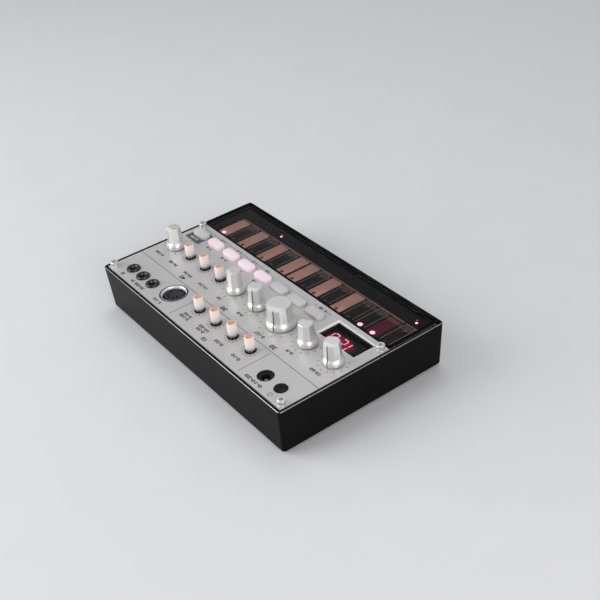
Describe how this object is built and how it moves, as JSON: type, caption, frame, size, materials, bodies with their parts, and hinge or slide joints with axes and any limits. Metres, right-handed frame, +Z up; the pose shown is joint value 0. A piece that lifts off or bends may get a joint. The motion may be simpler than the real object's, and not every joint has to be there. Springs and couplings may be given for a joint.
{
  "type": "bass synthesizer",
  "caption": "Compact table-top bass synthesizer: black drafted case, silver control panel with knobs and lit buttons, touch keyboard, small display and sockets along the rear edge.",
  "frame": {"origin": "centre of the case's footprint, on the plane under the rubber feet", "axes": "+X to the player's right, +Y to the socket side at the rear, +Z up"},
  "size_m": [0.193, 0.115, 0.0458],
  "materials": {
    "case_black": "glossy near-black moulded plastic",
    "foot_rubber": "matt black rubber",
    "panel_silver": "satin silver with grey print",
    "screw_steel": "bright plated steel",
    "smoked_cover": "glossy smoked acrylic",
    "gasket_black": "black adhesive foam",
    "board_dark": "black solder mask",
    "key_copper": "thin copper touch pads",
    "lamp_red": "small surface lamps",
    "part_black": "black moulded component body",
    "board_green": "green solder mask",
    "smoked_window": "dark display filter",
    "pot_steel": "plated steel can",
    "jack_black": "glossy black bushing",
    "shield_chrome": "bright plated metal",
    "lead_red": "insulated wire",
    "cell_wrap": "plain battery sleeve, at about the density of an alkaline cell",
    "power_dark": "dark glossy cap",
    "button_milky": "milky translucent cap, lit pale pink on four of the eight",
    "slim_clear": "frosted clear shaft knob lit from below",
    "knob_silver": "satin silver lacquer on plastic"
  },
  "bodies": {
    "case": {"lower_case": "case_black", "rubber_feet": "foot_rubber", "top_panel": "panel_silver", "panel_screws": "screw_steel", "touch_cover": "smoked_cover", "touch_gasket": "gasket_black", "touch_board": "board_dark", "touch_keys": "key_copper", "touch_lamps": "lamp_red", "board_link": "part_black", "main_board": "board_green", "board_screws": "screw_steel", "display_module": "part_black", "display_window": "smoked_window", "knob_pots": "pot_steel", "octave_switch": "part_black", "slim_pots": "part_black", "button_switches": "part_black", "power_switch": "part_black", "dc_inlet": "part_black", "dc_pin": "shield_chrome", "sync_in_jack": "jack_black", "sync_out_jack": "jack_black", "headphone_jack": "jack_black", "midi_socket": "part_black", "midi_shield": "shield_chrome", "speaker": "pot_steel", "speaker_leads": "lead_red", "battery_contacts": "shield_chrome", "battery_cells": "cell_wrap"},
    "door": {"battery_door": "case_black"},
    "octave_control": {"octave_knob": "knob_silver", "octave_shaft": "pot_steel"},
    "peak_control": {"peak_knob": "knob_silver", "peak_shaft": "pot_steel"},
    "cutoff_control": {"cutoff_knob": "knob_silver", "cutoff_shaft": "pot_steel"},
    "rate_control": {"rate_knob": "knob_silver", "rate_shaft": "pot_steel"},
    "intensity_control": {"intensity_knob": "knob_silver", "intensity_shaft": "pot_steel"},
    "volume_control": {"volume_knob": "knob_silver", "volume_shaft": "pot_steel"},
    "tempo_control": {"tempo_knob": "slim_clear"},
    "attack_control": {"attack_knob": "slim_clear"},
    "decay_control": {"decay_knob": "slim_clear"},
    "envelope_control": {"envelope_knob": "slim_clear"},
    "pitch_1_control": {"pitch_1_knob": "slim_clear"},
    "pitch_2_control": {"pitch_2_knob": "slim_clear"},
    "pitch_3_control": {"pitch_3_knob": "slim_clear"},
    "button_1_key": {"button_1": "button_milky"},
    "button_2_key": {"button_2": "button_milky"},
    "button_3_key": {"button_3": "button_milky"},
    "button_4_key": {"button_4": "button_milky"},
    "button_5_key": {"button_5": "button_milky"},
    "button_6_key": {"button_6": "button_milky"},
    "button_7_key": {"button_7": "button_milky"},
    "button_8_key": {"button_8": "button_milky"},
    "power_key": {"power_button": "power_dark"}
  },
  "joints": [
    {"name": "door_hinge", "type": "hinge", "parent": "case", "child": "door", "pos_m": [0, 0.0193, 0.003], "axis": [1, 0, 0], "range_deg": [0, 60]},
    {"name": "octave_turn", "type": "hinge", "parent": "case", "child": "octave_control", "pos_m": [-0.0826, 0.0108, 0.031], "axis": [0, 0, -1], "range_deg": [-60, 90]},
    {"name": "peak_turn", "type": "hinge", "parent": "case", "child": "peak_control", "pos_m": [-0.0593, 0.0108, 0.031], "axis": [0, 0, -1], "range_deg": [-300, 0]},
    {"name": "cutoff_turn", "type": "hinge", "parent": "case", "child": "cutoff_control", "pos_m": [-0.034, 0.0108, 0.031], "axis": [0, 0, -1], "range_deg": [-125, 175]},
    {"name": "rate_turn", "type": "hinge", "parent": "case", "child": "rate_control", "pos_m": [-0.0103, 0.0108, 0.031], "axis": [0, 0, -1], "range_deg": [-122, 178]},
    {"name": "intensity_turn", "type": "hinge", "parent": "case", "child": "intensity_control", "pos_m": [0.0126, 0.0108, 0.031], "axis": [0, 0, -1], "range_deg": [-160, 140]},
    {"name": "volume_turn", "type": "hinge", "parent": "case", "child": "volume_control", "pos_m": [0.0826, 0.0108, 0.031], "axis": [0, 0, -1], "range_deg": [-147, 153]},
    {"name": "tempo_turn", "type": "hinge", "parent": "case", "child": "tempo_control", "pos_m": [-0.0422, 0.0379, 0.031], "axis": [0, 0, -1], "range_deg": [-130, 170]},
    {"name": "attack_turn", "type": "hinge", "parent": "case", "child": "attack_control", "pos_m": [-0.0245, 0.0379, 0.031], "axis": [0, 0, -1], "range_deg": [-130, 170]},
    {"name": "decay_turn", "type": "hinge", "parent": "case", "child": "decay_control", "pos_m": [-0.0068, 0.0379, 0.031], "axis": [0, 0, -1], "range_deg": [-130, 170]},
    {"name": "envelope_turn", "type": "hinge", "parent": "case", "child": "envelope_control", "pos_m": [0.0109, 0.0379, 0.031], "axis": [0, 0, -1], "range_deg": [-130, 170]},
    {"name": "pitch_1_turn", "type": "hinge", "parent": "case", "child": "pitch_1_control", "pos_m": [0.0301, 0.0108, 0.031], "axis": [0, 0, -1], "range_deg": [-130, 170]},
    {"name": "pitch_2_turn", "type": "hinge", "parent": "case", "child": "pitch_2_control", "pos_m": [0.0476, 0.0108, 0.031], "axis": [0, 0, -1], "range_deg": [-130, 170]},
    {"name": "pitch_3_turn", "type": "hinge", "parent": "case", "child": "pitch_3_control", "pos_m": [0.0651, 0.0108, 0.031], "axis": [0, 0, -1], "range_deg": [-130, 170]},
    {"name": "button_1_press", "type": "slide", "parent": "case", "child": "button_1_key", "axis": [0, 0, -1], "range_m": [0, 0.001], "stiffness_N_per_m": 1200, "springref_m": -0.0003},
    {"name": "button_2_press", "type": "slide", "parent": "case", "child": "button_2_key", "axis": [0, 0, -1], "range_m": [0, 0.001], "stiffness_N_per_m": 1200, "springref_m": -0.0003},
    {"name": "button_3_press", "type": "slide", "parent": "case", "child": "button_3_key", "axis": [0, 0, -1], "range_m": [0, 0.001], "stiffness_N_per_m": 1200, "springref_m": -0.0003},
    {"name": "button_4_press", "type": "slide", "parent": "case", "child": "button_4_key", "axis": [0, 0, -1], "range_m": [0, 0.001], "stiffness_N_per_m": 1200, "springref_m": -0.0003},
    {"name": "button_5_press", "type": "slide", "parent": "case", "child": "button_5_key", "axis": [0, 0, -1], "range_m": [0, 0.001], "stiffness_N_per_m": 1200, "springref_m": -0.0003},
    {"name": "button_6_press", "type": "slide", "parent": "case", "child": "button_6_key", "axis": [0, 0, -1], "range_m": [0, 0.001], "stiffness_N_per_m": 1200, "springref_m": -0.0003},
    {"name": "button_7_press", "type": "slide", "parent": "case", "child": "button_7_key", "axis": [0, 0, -1], "range_m": [0, 0.001], "stiffness_N_per_m": 1200, "springref_m": -0.0003},
    {"name": "button_8_press", "type": "slide", "parent": "case", "child": "button_8_key", "axis": [0, 0, -1], "range_m": [0, 0.001], "stiffness_N_per_m": 1200, "springref_m": -0.0003},
    {"name": "power_press", "type": "slide", "parent": "case", "child": "power_key", "axis": [0, 0, -1], "range_m": [0, 0.0012], "stiffness_N_per_m": 1200, "springref_m": -0.0003}
  ]
}
